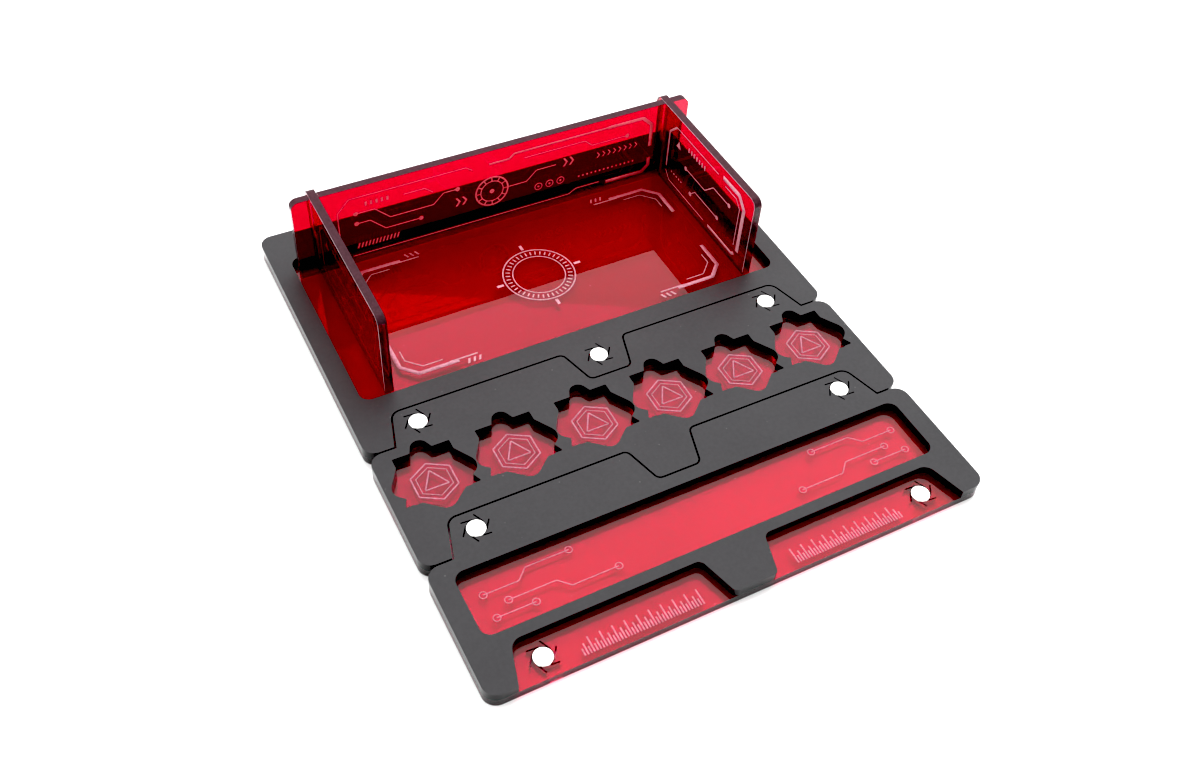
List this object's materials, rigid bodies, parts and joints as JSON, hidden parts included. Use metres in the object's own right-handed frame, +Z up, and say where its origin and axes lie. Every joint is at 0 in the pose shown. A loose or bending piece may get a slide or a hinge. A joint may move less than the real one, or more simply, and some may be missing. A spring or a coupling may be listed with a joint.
{
  "type": "modular dice tray",
  "caption": "Modular laser-cut acrylic dice tray: a walled rolling tray, a dice holder with star-shaped pockets and a shallow front tray joined by magnetic tab seams.",
  "frame": {"origin": "centre of the footprint of the joined set, on the surface that it stands on", "axes": "+Z up, +Y towards the back wall, +X to the right"},
  "size_m": [0.173, 0.2026, 0.037],
  "materials": {
    "tray_frame": "matt black cast acrylic sheet, laser-cut edges polished by the cut",
    "tray_floor": "glossy translucent red acrylic sheet",
    "holder_plate": "matt black cast acrylic sheet, laser-cut edges polished by the cut",
    "holder_base": "glossy translucent red acrylic sheet",
    "front_frame": "matt black cast acrylic sheet, laser-cut edges polished by the cut",
    "front_floor": "glossy translucent red acrylic sheet",
    "back_wall": "glossy translucent red acrylic sheet",
    "left_wall": "glossy translucent red acrylic sheet",
    "right_wall": "glossy translucent red acrylic sheet",
    "magnet": "nickel-plated"
  },
  "bodies": {
    "tray": {"tray_frame": "tray_frame", "tray_floor": "tray_floor", "tray_tongue_magnet": "magnet", "tray_ledge_magnet_left": "magnet", "tray_ledge_magnet_right": "magnet"},
    "dice_holder": {"holder_plate": "holder_plate", "holder_base": "holder_base", "holder_tab_magnet_left": "magnet", "holder_tab_magnet_right": "magnet", "holder_ledge_magnet_left": "magnet", "holder_ledge_magnet_right": "magnet"},
    "front_tray": {"front_frame": "front_frame", "front_floor": "front_floor", "front_tab_magnet_left": "magnet", "front_tab_magnet_right": "magnet", "front_ledge_magnet_left": "magnet", "front_ledge_magnet_right": "magnet"},
    "back_wall": {"back_wall": "back_wall"},
    "left_wall": {"left_wall": "left_wall"},
    "right_wall": {"right_wall": "right_wall"}
  },
  "joints": [
    {"name": "dice_holder_lift", "type": "slide", "parent": "tray", "child": "dice_holder", "axis": [0, 0, 1], "range_m": [0, 0.03]},
    {"name": "front_tray_lift", "type": "slide", "parent": "dice_holder", "child": "front_tray", "axis": [0, 0, 1], "range_m": [0, 0.03]},
    {"name": "back_wall_lift", "type": "slide", "parent": "tray", "child": "back_wall", "axis": [0, 0, 1], "range_m": [0, 0.045]},
    {"name": "left_wall_lift", "type": "slide", "parent": "back_wall", "child": "left_wall", "axis": [0, 0, 1], "range_m": [0, 0.045]},
    {"name": "right_wall_lift", "type": "slide", "parent": "back_wall", "child": "right_wall", "axis": [0, 0, 1], "range_m": [0, 0.045]}
  ]
}
